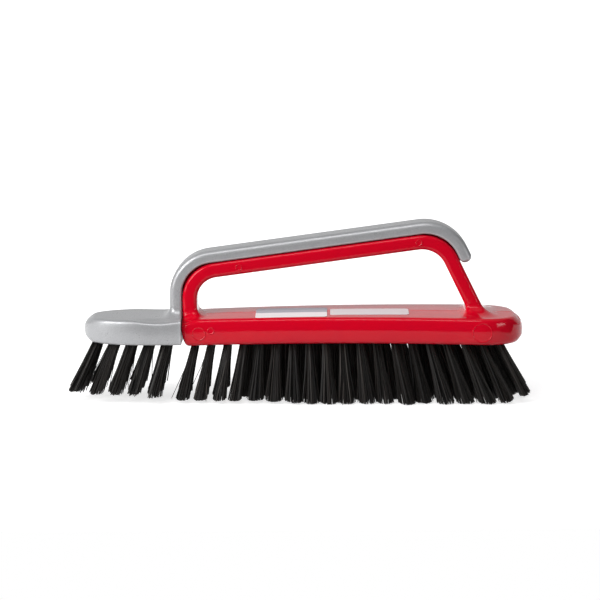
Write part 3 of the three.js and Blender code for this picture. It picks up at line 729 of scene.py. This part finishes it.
# %% Tuft layout
ROW_INSET = 6.6
POLISH_ROWS = 4
POLISH_COLUMNS = 19
POLISH_TOE_INSET = 6.8
POLISH_HEEL_INSET = 13.4
POLISH_CLOSER = 0.05  # columns stand closer at the toe by this share
OPEN_COLUMNS = 3  # columns at the toe whose rows stand in line
ROW_STAGGER = (0.0, 0.5, 0.3, 0.8)  # past them each row is moved on by this share of a pitch
SLIT_STAGGER = (0.0, 0.5, 0.3, 0.5)  # daylight shows past a column with these rows
SLIT_COLUMNS = (6, 11, 12, 14, 15)
OPEN_FLARE = 1.3  # a tuft's spread at its tips, as a share of its root
CLOSE_FLARE = 2.0
APPLICATOR_FLARE = 0.6
APPLICATOR_ROWS = 3
APPLICATOR_COLUMNS = 5
APPLICATOR_NOSE_INSET = 7.5
APPLICATOR_JOINT_INSET = 7.4
APPLICATOR_SHORTER = 1.9
TOE_LEAN = -14.0
HEEL_LEAN = 27.0
HEEL_LEAN_POWER = 1.4
UPRIGHT_SHARE = 0.33
NOSE_LEAN = -23.0
JOINT_LEAN = -15.0
NOSE_OVERHANG = 10.0  # how far its tips lean out past the nose
SIDE_LEAN = 7.0
TOE_WEAR = 1.4  # the toe's tips end this much above the floor
WORN_TO, UNWORN_FROM = 40.0, 64.0
HEEL_CUT_FROM = 158.0  # past this the tips are trimmed on a slant
HEEL_CUT = 0.26


def polish_lean(share):
    if share < UPRIGHT_SHARE:
        return TOE_LEAN * (1 - share / UPRIGHT_SHARE)
    return HEEL_LEAN * ((share - UPRIGHT_SHARE) / (1 - UPRIGHT_SHARE)) ** HEEL_LEAN_POWER


def polish_tips(x):
    """Height of the trimmed tips above the floor."""
    worn = TOE_WEAR * np.clip((UNWORN_FROM - x) / (UNWORN_FROM - WORN_TO), 0, 1)
    return worn + HEEL_CUT * np.maximum(0, x - HEEL_CUT_FROM)


def polish_column(k, pitch):
    """The tufts of one column: place, root height, two leans and flare."""
    last = POLISH_COLUMNS - 1
    staggers = SLIT_STAGGER if k in SLIT_COLUMNS else ROW_STAGGER
    staggered = OPEN_COLUMNS <= k < last
    flare = CLOSE_FLARE if OPEN_COLUMNS < k < last else OPEN_FLARE
    spots = []
    for row, stagger in zip(np.linspace(-1, 1, POLISH_ROWS), staggers):
        share = (k + (stagger if staggered else 0.0)) / last
        x = POLISH_TOE_INSET + pitch * last * (share + POLISH_CLOSER * (share**2 - share))
        lean = polish_lean(share)
        y = row * (block_half(x) - ROW_INSET)
        spots.append([x, y, TUFT_LENGTH + camber(x), lean, row * SIDE_LEAN, flare])
    return spots


polish_pitch = (BLOCK_LENGTH - POLISH_HEEL_INSET - POLISH_TOE_INSET) / (POLISH_COLUMNS - 1)
polish_columns = [polish_column(k, polish_pitch) for k in range(POLISH_COLUMNS)]

applicator_spots = []
span = (-HEAD_LENGTH + APPLICATOR_NOSE_INSET, -APPLICATOR_JOINT_INSET)
for k, x in enumerate(np.linspace(*span, APPLICATOR_COLUMNS)):
    lean = NOSE_LEAN + (JOINT_LEAN - NOSE_LEAN) * k / (APPLICATOR_COLUMNS - 1)
    for row in np.linspace(-1, 1, APPLICATOR_ROWS):
        y = row * (head_half(x) - ROW_INSET)
        applicator_spots.append([x, y, HEAD_BOTTOM, lean, row * SIDE_LEAN, APPLICATOR_FLARE])


def applicator_tips(x):
    """All its bristles are as long, so tips that lean out further end higher."""
    share = np.clip(-x / (HEAD_LENGTH + NOSE_OVERHANG), 0, 1)
    lean = np.radians(JOINT_LEAN + (NOSE_LEAN - JOINT_LEAN) * share)
    return HEAD_BOTTOM - (HEAD_BOTTOM - APPLICATOR_SHORTER) * np.cos(lean)


print(POLISH_COLUMNS * POLISH_ROWS, "and", len(applicator_spots), "tufts")

# %% [markdown]
# ## Bristles
# Each tuft is a pinch of stiff fibres folded into a drilled hole, so it is round and tight at its root and
# flares towards its trimmed tips. A hair particle system would draw strands, but it leaves no mesh to
# export. Here every bristle is a slim three-sided tapering rod of its own, scattered from a seed, with a
# shade of its own that the material reads later. The applicator's tufts have been used more: they split
# into a few clumps, and their tips are uneven.

# %% Bristles
BRISTLES_A_TUFT = 110
BRISTLE_RADIUS = 0.24
BRISTLE_TAPER = 0.15
ROOT_DEPTH = 1.2
TIP_ROUND = 1.1  # a tuft's rim ends this much higher than its middle
TIP_ROUND_POWER = 4
FLARE_POWER = 1.35
STRAYS_A_TUFT = 2  # bristles that stand askew in their tuft
STRAY_SPREAD = 2.6
STRAY_SHADE = 0.6
SHADE_SPREAD = (1.2, 7.0)  # most bristles are dark, a few lighter
TUFT_SHADE = 0.03
BRISTLE_CREASE = 80
APPLICATOR_SEED = 9
CLUMPS = 3
RINGS_ALONG = np.array([0.0, 0.5, 1.0])
POLISHING = {"radius": 1.6, "scatter": 0.14, "ragged": 0.12, "split": 0.12, "sway": 0.9}
APPLYING = {"radius": 2.6, "scatter": 0.22, "ragged": 0.6, "split": 0.9, "sway": 1.7}


def grow(spots, tips, rng, radius, scatter, ragged, split, sway):
    """Centre lines of all bristles of some tufts, as tufts x bristles x rings x 3, and their shades."""
    spots = np.array(spots, float)[:, None, :]
    spots[..., 3:5] += rng.normal(0, sway, (len(spots), 1, 2))
    shape = (len(spots), BRISTLES_A_TUFT)
    turn = rng.uniform(0, 2 * math.pi, shape)
    out = np.sqrt(rng.uniform(0, 1, shape))
    root = radius * out[..., None] * np.stack([np.cos(turn), np.sin(turn)], -1)
    stray = np.arange(BRISTLES_A_TUFT) < STRAYS_A_TUFT
    clump = np.floor(turn / (2 * math.pi) * CLUMPS).astype(int)
    moved = np.take_along_axis(rng.normal(0, split, (len(spots), CLUMPS, 3)), clump[..., None], 1)
    loose = rng.normal(0, 1, (*shape, 2)) * np.where(stray, STRAY_SPREAD, scatter)[:, None]
    splay = root * np.where(stray, 0.0, spots[..., 5])[..., None] + moved[..., :2] + loose
    root_z = spots[..., 2] + ROOT_DEPTH
    lean = root_z[..., None] * np.tan(np.radians(spots[..., 3:5]))
    tip_x = spots[..., 0] + root[..., 0] + lean[..., 0] + splay[..., 0]
    uneven = np.abs(rng.normal(0, ragged, shape)) + np.abs(moved[..., 2])
    tip_z = tips(tip_x) + TIP_ROUND * out**TIP_ROUND_POWER + uneven
    down = ((root_z - tip_z) / root_z)[..., None, None] * RINGS_ALONG[:, None]
    flared = splay[..., None, :] * down**FLARE_POWER
    xy = (spots[..., :2] + root)[..., None, :] + lean[..., None, :] * down + flared
    z = root_z[..., None, None] * (1 - down)
    shade = rng.beta(*SHADE_SPREAD, shape) + rng.normal(0, TUFT_SHADE, (len(spots), 1))
    return np.concatenate([xy, z], -1), np.clip(shade + np.where(stray, STRAY_SHADE, 0.0), 0, 1)


def bristle_piece(node, body, seed, spots, tips, habit):
    rng = np.random.default_rng(seed)
    lines, shade = grow(spots, tips, rng, **habit)
    lines = lines.reshape(-1, len(RINGS_ALONG), 3)
    count = len(lines)
    thick = BRISTLE_RADIUS * (1 - BRISTLE_TAPER * RINGS_ALONG)
    turn = rng.uniform(0, 2 * math.pi, (count, 1)) + np.arange(3) * 2 * math.pi / 3
    ring = np.stack([np.cos(turn), np.sin(turn), np.zeros_like(turn)], -1)
    points = lines[:, :, None, :] + thick[None, :, None, None] * ring[:, None, :, :]
    _, faces = skin(points[0])
    size = points[0].shape[0] * 3
    all_faces = [[index + k * size for index in face] for k in range(count) for face in faces]
    piece = make_piece(node.replace("tufts", "bristles"), points.reshape(-1, 3), all_faces)
    strand_shade = piece.data.attributes.new("strand_shade", "FLOAT", "POINT")
    strand_shade.data.foreach_set("value", np.repeat(shade.reshape(-1), size).astype(np.float32))
    smooth(piece, BRISTLE_CREASE)
    settle(piece, node, body)
    return piece


third = POLISH_COLUMNS // 3
zones = {
    "polish_tufts_toe": polish_columns[:third],
    "polish_tufts_middle": polish_columns[third : 2 * third],
    "polish_tufts_heel": polish_columns[2 * third :],
}
bristles = []
for seed, (node, columns) in enumerate(zones.items(), start=1):
    spots = [spot for column in columns for spot in column]
    bristles.append(bristle_piece(node, POLISHER, seed, spots, polish_tips, POLISHING))
source = (APPLICATOR_SEED, applicator_spots, applicator_tips, APPLYING)
bristles.append(bristle_piece("applicator_tufts", APPLICATOR, *source))

# %% [markdown]
# ## Labels
# Two thin paper labels lie on the deck under the handle. They follow its bow and crown, so they are skinned
# from the same deck formula as the block. A flat sheet would stand off at its ends.

# %% Labels
LABEL_THICKNESS = 0.14
LABEL_LIFT = 0.02  # above the deck
LABEL_CORNER = 1.6
LABEL_CORNER_RINGS, LABEL_RINGS, LABEL_POINTS = 7, 16, 13
WIDE_LABEL = {"x": 36.6, "length": 35.4, "y": -16.5, "width": 25.0}
NARROW_LABEL = {"x": 73.6, "length": 39.0, "y": -12.4, "width": 16.0}


def label_piece(node, x, length, y, width):
    ends = LABEL_CORNER * (1 - np.cos(np.linspace(0, math.pi / 2, LABEL_CORNER_RINGS)))
    straight = np.linspace(LABEL_CORNER, length - LABEL_CORNER, LABEL_RINGS)[1:-1]
    along = np.concatenate([ends, straight, length - ends[::-1]])
    rings = []
    for place in along:
        inset = rounded_in(LABEL_CORNER, min(place, length - place))
        across = np.linspace(y + inset, y + width - inset, LABEL_POINTS)
        lower = deck_height(x + place, across) + LABEL_LIFT
        upper = lower + LABEL_THICKNESS
        ring_y = np.concatenate([across, across[::-1]])
        ring_z = np.concatenate([lower, upper[::-1]])
        rings.append(np.column_stack([np.full(len(ring_y), x + place), ring_y, ring_z]))
    piece = make_piece(f"{node}_paper", *skin(rings))
    smooth(piece)
    settle(piece, node, POLISHER)
    return piece


wide_label = label_piece("wide_label", **WIDE_LABEL)
narrow_label = label_piece("narrow_label", **NARROW_LABEL)

# %% [markdown]
# ## Shared surface effects
# Both mouldings came out of steel moulds, so both have the same faint skin: a fine grain, a slow waviness
# where the plastic shrank, and hairline rubs along the brush from being handled. That is one node group,
# placed in each material with its own values. It gives heights and masks only. The shaders stay outside.

# %% Node helpers and the mould skin group
def set_inputs(tree, node, inputs):
    """Sets each named input to a plain value, or links it to what another node gives."""
    for key, value in inputs.items():
        if isinstance(value, bpy.types.NodeSocket):
            tree.links.new(value, node.inputs[key])
        else:
            node.inputs[key].default_value = value


def add_node(tree, kind, inputs, **settings):
    node = tree.nodes.new(f"ShaderNode{kind}")
    for key, value in settings.items():
        setattr(node, key, value)
    set_inputs(tree, node, inputs)
    return node


def calculate(tree, operation, first, second):
    return add_node(tree, "Math", {0: first, 1: second}, operation=operation).outputs["Value"]


def rescale(tree, value, reach=(0.0, 1.0), result=(0.0, 1.0)):
    """A value brought from one range to another and kept within it."""
    limits = zip(("From Min", "From Max", "To Min", "To Max"), (*reach, *result))
    return add_node(tree, "MapRange", {"Value": value, **dict(limits)}).outputs["Result"]


def own_place(tree):
    return tree.nodes.new("ShaderNodeTexCoord").outputs["Object"]


def scaled_noise(tree, scale, detail, stretch=(1.0, 1.0, 1.0)):
    """Noise on the object's own coordinates, stretched along an axis where a rub runs along it."""
    mapping = add_node(tree, "Mapping", {"Vector": own_place(tree), "Scale": stretch})
    pattern = {"Vector": mapping.outputs["Vector"], "Scale": scale, "Detail": detail, "Roughness": 0.55}
    return add_node(tree, "TexNoise", pattern).outputs["Fac"]


def new_group(name, inputs, outputs):
    group = bpy.data.node_groups.new(name, "ShaderNodeTree")
    for way, sockets in (("INPUT", inputs), ("OUTPUT", outputs)):
        for socket in sockets:
            group.interface.new_socket(name=socket, in_out=way, socket_type="NodeSocketFloat")
    return group, group.nodes.new("NodeGroupInput").outputs, group.nodes.new("NodeGroupOutput")


def mould_skin_group():
    values = ["Grain", "Waviness", "Rubs"]
    group, entry, leave = new_group("mould_skin", values, ["Height", "Variation", "Rub mask"])
    waves = scaled_noise(group, 120, 2)
    hairlines = rescale(group, scaled_noise(group, 1500, 3, stretch=(0.05, 1.0, 1.0)), (0.62, 0.74))
    fine = calculate(group, "MULTIPLY", scaled_noise(group, 2600, 2), entry["Grain"])
    slow = calculate(group, "MULTIPLY", waves, entry["Waviness"])
    rub_mask = calculate(group, "MULTIPLY", hairlines, entry["Rubs"])
    height = calculate(group, "ADD", fine, slow)
    set_inputs(group, leave, {"Height": height, "Variation": waves, "Rub mask": rub_mask})
    return group


mould_skin = mould_skin_group()
print("group", mould_skin.name, "with", len(mould_skin.nodes), "nodes")

# %% [markdown]
# Edges of a handled moulding are polished a touch lighter than its flats. Cycles can tell how pointed the
# surface is at each spot, so that is a second small group, broken up by noise so that it isn't a drawn line.

# %% Edge polish group
def edge_polish_group():
    group, entry, leave = new_group("edge_polish", ["Amount"], ["Mask"])
    pointed = group.nodes.new("ShaderNodeNewGeometry").outputs["Pointiness"]
    edges = rescale(group, pointed, (0.515, 0.58))
    broken = calculate(group, "MULTIPLY", edges, scaled_noise(group, 400, 3))
    set_inputs(group, leave, {"Mask": calculate(group, "MULTIPLY", broken, entry["Amount"])})
    return group


edge_polish = edge_polish_group()
print("group", edge_polish.name, "with", len(edge_polish.nodes), "nodes")

# %% [markdown]
# ## Red plastic
# The polishing brush is glossy red plastic, coloured right through. Its red is deep and a little cool. The
# flats mirror the white table below and the dark room in front, so it needs a low roughness more than a
# bright colour.

# %% Red plastic
FINE_BUMP = 0.00002  # metres


def new_material(name, inputs):
    """A material with its nodes and its shader, some of whose inputs are plain values."""
    material = bpy.data.materials.new(name)
    material.use_nodes = True
    tree = material.node_tree
    shader = tree.nodes["Principled BSDF"]
    set_inputs(tree, shader, inputs)
    return material, tree, shader


def place_group(tree, group, inputs):
    return add_node(tree, "Group", inputs, node_tree=group).outputs


def blend_colours(tree, factor, first, second):
    first, second = ((*colour, 1.0) if isinstance(colour, tuple) else colour for colour in (first, second))
    mix = add_node(tree, "Mix", {0: factor, 6: first, 7: second}, data_type="RGBA")
    return mix.outputs[2]


def feed(tree, shader, colour, rough, height, depth=FINE_BUMP):
    """Gives the shader its colour, its roughness and a bump with the height's pattern."""
    bump = add_node(tree, "Bump", {"Height": height, "Distance": depth, "Strength": 1.0})
    patterns = {"Base Color": colour, "Roughness": rough, "Normal": bump.outputs["Normal"]}
    set_inputs(tree, shader, patterns)


def red_plastic():
    material, tree, shader = new_material("red_plastic", {"IOR": 1.47, "Specular IOR Level": 0.25})
    moulded = place_group(tree, mould_skin, {"Grain": 0.25, "Waviness": 1.0, "Rubs": 0.5})
    edges = place_group(tree, edge_polish, {"Amount": 0.5})
    colour = blend_colours(tree, moulded["Variation"], (0.61, 0.0012, 0.013), (0.55, 0.0016, 0.017))
    colour = blend_colours(tree, edges["Mask"], colour, (0.66, 0.02, 0.03))
    waved = rescale(tree, moulded["Variation"], result=(0.07, 0.11))
    rubbed = rescale(tree, moulded["Rub mask"], result=(0.0, 0.08))
    feed(tree, shader, colour, calculate(tree, "ADD", waved, rubbed), moulded["Height"])
    return material


polish_body.data.materials.append(red_plastic())
print("red plastic on", polish_body.name)

# %% [markdown]
# ## Silver plastic
# The applicator is grey plastic with metal flake mixed in, so it has the satin look of silver paint. Each
# flake lies at its own angle, which is a fine cell pattern in the brightness and in the bump. Partial
# metal in the shader gives the soft bright band along the edges that plain grey plastic would not have.

# %% Silver plastic
FLAKE_BUMP = 0.000012


def silver_plastic():
    material, tree, shader = new_material("silver_plastic", {"Metallic": 0.34})
    moulded = place_group(tree, mould_skin, {"Grain": 0.5, "Waviness": 0.8, "Rubs": 0.6})
    edges = place_group(tree, edge_polish, {"Amount": 0.6})
    flakes = add_node(tree, "TexVoronoi", {"Vector": own_place(tree), "Scale": 3200.0})
    spark = add_node(tree, "SeparateColor", {"Color": flakes.outputs["Color"]}).outputs
    colour = blend_colours(tree, spark["Red"], (0.35, 0.354, 0.364), (0.42, 0.424, 0.434))
    colour = blend_colours(tree, edges["Mask"], colour, (0.62, 0.62, 0.63))
    waved = rescale(tree, moulded["Variation"], result=(0.24, 0.32))
    flaked = rescale(tree, spark["Green"], result=(0.0, 0.10))
    height = calculate(tree, "ADD", moulded["Height"], spark["Blue"])
    feed(tree, shader, colour, calculate(tree, "ADD", waved, flaked), height, FLAKE_BUMP)
    return material


applicator_body.data.materials.append(silver_plastic())
print("silver plastic on", applicator_body.name)

# %% [markdown]
# ## Bristle fibre
# The bristles are near-black with a brown cast, and each has its own shade, stored on the mesh when it was
# grown. A few lighter ones are what make a tuft read as fibres and not as a block.

# %% Bristle fibre
def bristle_fibre():
    material, tree, shader = new_material("bristle_fibre", {"Specular IOR Level": 0.25})
    strand = add_node(tree, "Attribute", {}, attribute_name="strand_shade")
    streaks = scaled_noise(tree, 900, 2, stretch=(1.0, 1.0, 0.06))
    colour = blend_colours(tree, strand.outputs["Fac"], (0.001, 0.0009, 0.0009), (0.085, 0.075, 0.068))
    feed(tree, shader, colour, rescale(tree, streaks, result=(0.38, 0.62)), streaks)
    return material


fibre = bristle_fibre()
for piece in bristles:
    piece.data.materials.append(fibre)
print("fibre on", len(bristles), "bristle pieces")

# %% [markdown]
# ## Paper labels
# Label paper is white with a faint fibre mottle. The wide label has a pale grey-blue band along its far
# side, and the narrow one is a little greyer all over. The band is read from the label's own coordinates,
# so it needs no second sheet.

# %% Label paper
WHITE_STRIP = 11.5  # width of the wide label's white part
WIDE_BAND_FROM = (WIDE_LABEL["y"] + WHITE_STRIP) * MM
BAND_COLOUR = (0.42, 0.44, 0.50)
WHITE_PAPER = ((0.90, 0.89, 0.90), (0.96, 0.95, 0.96))
GREYED_PAPER = ((0.74, 0.72, 0.74), (0.82, 0.80, 0.82))


def label_paper(name, paper, fibre, band=None):
    material, tree, shader = new_material(name, {})
    fibres = scaled_noise(tree, 1800, 4)
    colour = blend_colours(tree, fibres, paper, fibre)
    if band is not None:
        axes = add_node(tree, "SeparateXYZ", {"Vector": own_place(tree)})
        in_band = calculate(tree, "GREATER_THAN", axes.outputs["Y"], band)
        colour = blend_colours(tree, in_band, colour, BAND_COLOUR)
    feed(tree, shader, colour, rescale(tree, fibres, result=(0.35, 0.6)), fibres)
    return material


wide_label.data.materials.append(label_paper("banded_label_paper", *WHITE_PAPER, WIDE_BAND_FROM))
narrow_label.data.materials.append(label_paper("grey_label_paper", *GREYED_PAPER))
print("paper on two labels")

# %% [markdown]
# ## Table, backdrop and room
# The brush stands on a white table that ends a little in front of it. Past that edge the room is dark, and
# that is why the upper half of each front is deep red and the lower half mirrors the table. A white
# backdrop behind lays the pale sheen on the deck. The table adds a plain glow for the camera and for
# reflections, so that it reads white and still shows the shadow.

# %% Stage
BACKDROP_Y = 1.9
TABLE_FRONT = -0.245
TABLE_RIGHT = [(0.26, TABLE_FRONT), (0.28, -0.02), (0.7, 0.1)]  # its outline, from the front corner back
TABLE_LEFT = [(-0.26, TABLE_FRONT), (-0.6, -0.14)]
STAGE_HALF = 2.5
BACKDROP_HEIGHT = 2.2


def sheet(name, corners):
    mesh = bpy.data.meshes.new(name)
    mesh.from_pydata(corners, [], [list(range(len(corners)))])
    piece = add_object(name, mesh)
    return piece


def seen_by_eye(tree, in_reflections):
    """1 for what the camera sees, less for a reflection, 0 for what only lights other things."""
    path = tree.nodes.new("ShaderNodeLightPath").outputs
    seen = calculate(tree, "MULTIPLY", path["Is Glossy Ray"], in_reflections)
    for ray in ("Is Camera Ray", "Is Transmission Ray"):
        seen = calculate(tree, "MAXIMUM", path[ray], seen)
    return seen


def white_surface(name, near_glow, near, far, in_reflections):
    """White, with a glow for the eye that grows from near the brush to far from it."""
    matt = {"Base Color": (0.6, 0.6, 0.6, 1.0), "Roughness": 0.9, "Specular IOR Level": 0.0}
    material, tree, shader = new_material(name, {**matt, "Emission Color": (1.0, 1.0, 1.0, 1.0)})
    length = add_node(tree, "VectorMath", {0: own_place(tree)}, operation="LENGTH")
    ramp = rescale(tree, length.outputs["Value"], (near, far), (near_glow, 1.0))
    glow = calculate(tree, "MULTIPLY", ramp, seen_by_eye(tree, in_reflections))
    set_inputs(tree, shader, {"Emission Strength": glow})
    return material


def across_stage(half, y, z):
    return [(-half, y, z), (half, y, z)]


table_back = across_stage(STAGE_HALF, BACKDROP_Y, 0)[::-1]
outline = [(x, y, 0) for x, y in TABLE_RIGHT] + table_back + [(x, y, 0) for x, y in TABLE_LEFT[::-1]]
table = sheet("table", outline)
low, high = (across_stage(STAGE_HALF, BACKDROP_Y, z) for z in (0, BACKDROP_HEIGHT))
backdrop = sheet("backdrop", low + high[::-1])
table.data.materials.append(white_surface("white_table", 0.72, 0.16, 0.5, 1.0))
backdrop.data.materials.append(white_surface("white_backdrop", 1.0, 0.0, 0.1, 0.46))

world = bpy.data.worlds.new("room")
world.use_nodes = True
bpy.context.scene.world = world
room = world.node_tree
path = room.nodes.new("ShaderNodeLightPath").outputs
seen = blend_colours(room, path["Is Camera Ray"], (0.05, 0.05, 0.052), (1.0, 1.0, 1.0))
set_inputs(room, room.nodes["Background"], {"Color": seen})
print("table from", TABLE_FRONT, "to", BACKDROP_Y)

# %% [markdown]
# ## Lamps
# Soft boxes light the brush: one high in front, a strong one on the nose's side, and one above the heel. Two
# low strips draw the bright lines on the ends. Area lamps have a size, so their shadows and mirror images are
# as soft as a soft box's. The fills only lighten the shadows, so they are kept out of mirror images.

# %% Lamps
def lamp(name, place, width, height, power, mirrored=True):
    light = bpy.data.lights.new(name, "AREA")
    light.shape = "RECTANGLE"
    light.size = width
    light.size_y = height
    light.energy = power
    piece = add_object(name, light)
    piece.location = place
    piece.rotation_euler = (Vector(place) - LOOK_AT).to_track_quat("Z", "Y").to_euler()
    piece.visible_glossy = mirrored


lamp("high_softbox", (-0.1, -0.62, 1.15), 0.6, 0.5, 4.5)
lamp("front_fill", (0.0, -1.1, 0.58), 1.0, 0.5, 1.5, mirrored=False)
lamp("left_key", (-0.86, -0.67, 0.67), 0.72, 0.72, 12.0)
lamp("left_low_fill", (-1.18, -0.25, 0.24), 0.45, 0.6, 4.2, mirrored=False)
lamp("left_low_strip", (-1.08, -0.53, 0.2), 0.3, 0.2, 1.4)
lamp("right_low_strip", (0.9, -0.6, 0.14), 0.5, 0.15, 1.6)
lamp("top_softbox", (0.45, 0.0, 1.2), 1.0, 1.0, 1.4)
lamp("back_fill", (-0.5, 1.0, 0.8), 1.0, 1.0, 4.0, mirrored=False)
print("eight lamps")
